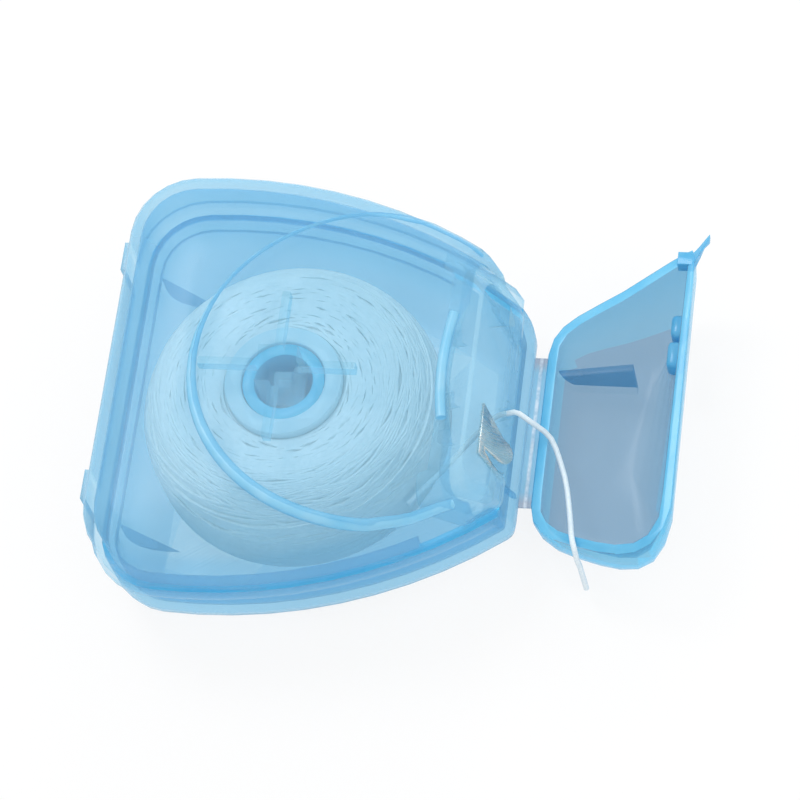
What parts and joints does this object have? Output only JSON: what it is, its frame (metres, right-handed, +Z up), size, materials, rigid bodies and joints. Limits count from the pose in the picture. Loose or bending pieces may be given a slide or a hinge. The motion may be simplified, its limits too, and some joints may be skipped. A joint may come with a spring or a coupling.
{
  "type": "dental floss dispenser",
  "caption": "Clear flat floss dispenser with a reel on a spindle inside, a steel cutter at its sloping outlet, and a flip lid that stands open on a living hinge.",
  "frame": {"origin": "where the reel's axis meets the plane of the rear face, which the dispenser lies on", "axes": "+X from the broad base to the lid, +Y across the case, +Z up out of the front face along the reel's axis"},
  "size_m": [0.0659, 0.0504, 0.0222],
  "materials": {
    "clear_blue": "clear satin polypropylene, light blue",
    "insert_blue": "clear satin polypropylene, light blue",
    "lid_blue": "clear satin polypropylene, light blue",
    "hinge_web": "thin stressed polypropylene",
    "core_plastic": "milky plastic",
    "floss": "waxed filament, white",
    "steel": "bright stamped steel"
  },
  "bodies": {
    "case": {"rear_shell": "clear_blue", "front_shell": "clear_blue", "outlet_insert": "insert_blue", "cutter": "steel", "living_hinge": "hinge_web", "floss_lead": "floss", "floss_tail": "floss"},
    "lid": {"lid": "lid_blue"},
    "reel": {"spool_core": "core_plastic", "floss_winding": "floss"}
  },
  "joints": [
    {"name": "lid_hinge", "type": "hinge", "parent": "case", "child": "lid", "pos_m": [0.02795, 0, 0.006], "axis": [0, -1, 0], "range_deg": [0, 92.5], "deforming": ["living_hinge", "floss_tail"]},
    {"name": "reel_spin", "type": "hinge", "parent": "case", "child": "reel", "pos_m": [0, 0, 0.009], "axis": [0, 0, 1], "continuous": true}
  ]
}
